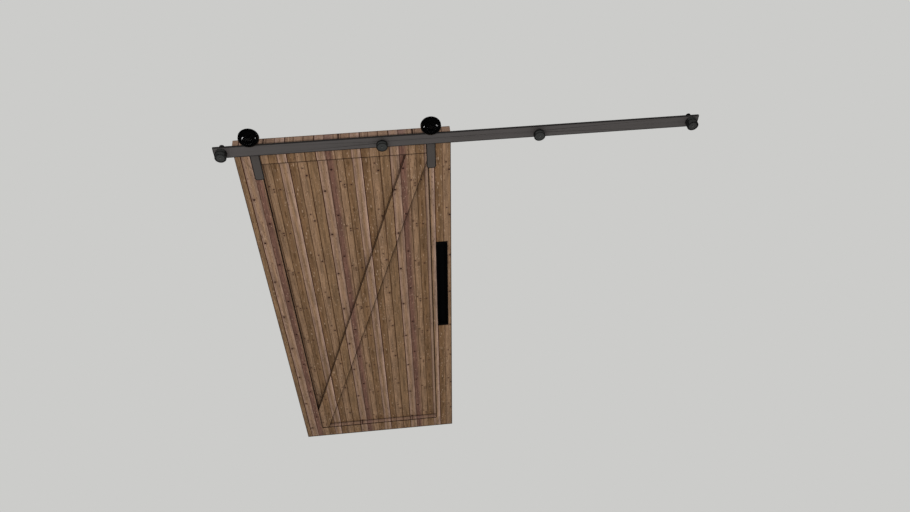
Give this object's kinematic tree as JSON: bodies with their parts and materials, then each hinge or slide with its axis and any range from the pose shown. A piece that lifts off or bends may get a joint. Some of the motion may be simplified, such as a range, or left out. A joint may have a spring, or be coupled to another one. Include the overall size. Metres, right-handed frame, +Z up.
{
  "type": "sliding barn door",
  "caption": "Board and brace sliding barn door hung from a flat steel wall rail by grooved wheels and straps, with flush pulls.",
  "frame": {"origin": "on the wall face, midway between the two outer wall bolts, at the rail's mid height", "axes": "+X along the rail towards the side the door opens to, +Y away from the wall into the room, +Z up"},
  "size_m": [1.83, 0.1241, 2.2416],
  "materials": {
    "rail_steel": "satin dark grey powder coat",
    "standoff_steel": "satin dark grey powder coat",
    "fastener_steel": "satin black zinc",
    "stop_rubber": "matt moulded",
    "wheel_nylon": "gloss turned nylon",
    "bearing_steel": "ground bearing steel",
    "frame_wood": "matt stained strip pine",
    "board_wood": "matt stained pine boards",
    "pull_steel": "matt black powder coat"
  },
  "bodies": {
    "rail_assembly": {"rail": "rail_steel", "inner_rail_screws": "fastener_steel", "outer_rail_screws": "fastener_steel", "wall_standoff_left": "standoff_steel", "wall_standoff_right": "standoff_steel", "outer_standoff_left": "standoff_steel", "outer_standoff_right": "standoff_steel", "inner_standoff_left": "standoff_steel", "inner_standoff_right": "standoff_steel", "end_stop_left": "stop_rubber", "end_stop_right": "stop_rubber"},
    "door": {"left_stile": "frame_wood", "right_stile": "frame_wood", "top_rail": "frame_wood", "bottom_rail": "frame_wood", "wall_side_brace": "frame_wood", "room_side_brace": "frame_wood", "wall_side_pull": "pull_steel", "room_side_pull": "pull_steel", "pull_screws": "pull_steel", "panel_board_01": "board_wood", "panel_board_02": "board_wood", "panel_board_03": "board_wood", "panel_board_04": "board_wood", "panel_board_05": "board_wood", "panel_board_06": "board_wood", "panel_board_07": "board_wood", "panel_board_08": "board_wood", "panel_board_09": "board_wood", "panel_board_10": "board_wood", "panel_board_11": "board_wood", "panel_board_12": "board_wood", "panel_board_13": "board_wood", "panel_board_14": "board_wood", "panel_board_15": "board_wood", "panel_board_16": "board_wood", "panel_board_17": "board_wood", "panel_board_18": "board_wood", "bearing_inner_ring_left": "bearing_steel", "bearing_inner_ring_right": "bearing_steel", "axle_bolt_left": "fastener_steel", "axle_bolt_right": "fastener_steel", "axle_sleeve_left": "bearing_steel", "axle_sleeve_right": "bearing_steel", "axle_nut_left": "fastener_steel", "axle_nut_right": "fastener_steel", "hanger_strap_left": "rail_steel", "hanger_strap_right": "rail_steel", "strap_studs_left": "fastener_steel", "strap_studs_right": "fastener_steel", "strap_cap_nuts_left": "fastener_steel", "strap_cap_nuts_right": "fastener_steel"},
    "left_wheel": {"wheel_left": "wheel_nylon", "bearing_outer_ring_left": "bearing_steel", "bearing_balls_left": "bearing_steel"},
    "right_wheel": {"wheel_right": "wheel_nylon", "bearing_outer_ring_right": "bearing_steel", "bearing_balls_right": "bearing_steel"}
  },
  "joints": [
    {"name": "door_slide", "type": "slide", "parent": "rail_assembly", "child": "door", "axis": [1, 0, 0], "range_m": [-0.0815, 0.9695]},
    {"name": "left_wheel_spin", "type": "hinge", "parent": "door", "child": "left_wheel", "pos_m": [-0.777, 0.033, 0.0588], "axis": [0, 1, 0], "continuous": true},
    {"name": "right_wheel_spin", "type": "hinge", "parent": "door", "child": "right_wheel", "pos_m": [-0.111, 0.033, 0.0588], "axis": [0, 1, 0], "continuous": true}
  ],
  "couplings": [
    {"joint": "left_wheel_spin", "follows": "door_slide", "rad_per_m": 29.851},
    {"joint": "right_wheel_spin", "follows": "door_slide", "rad_per_m": 29.851}
  ]
}
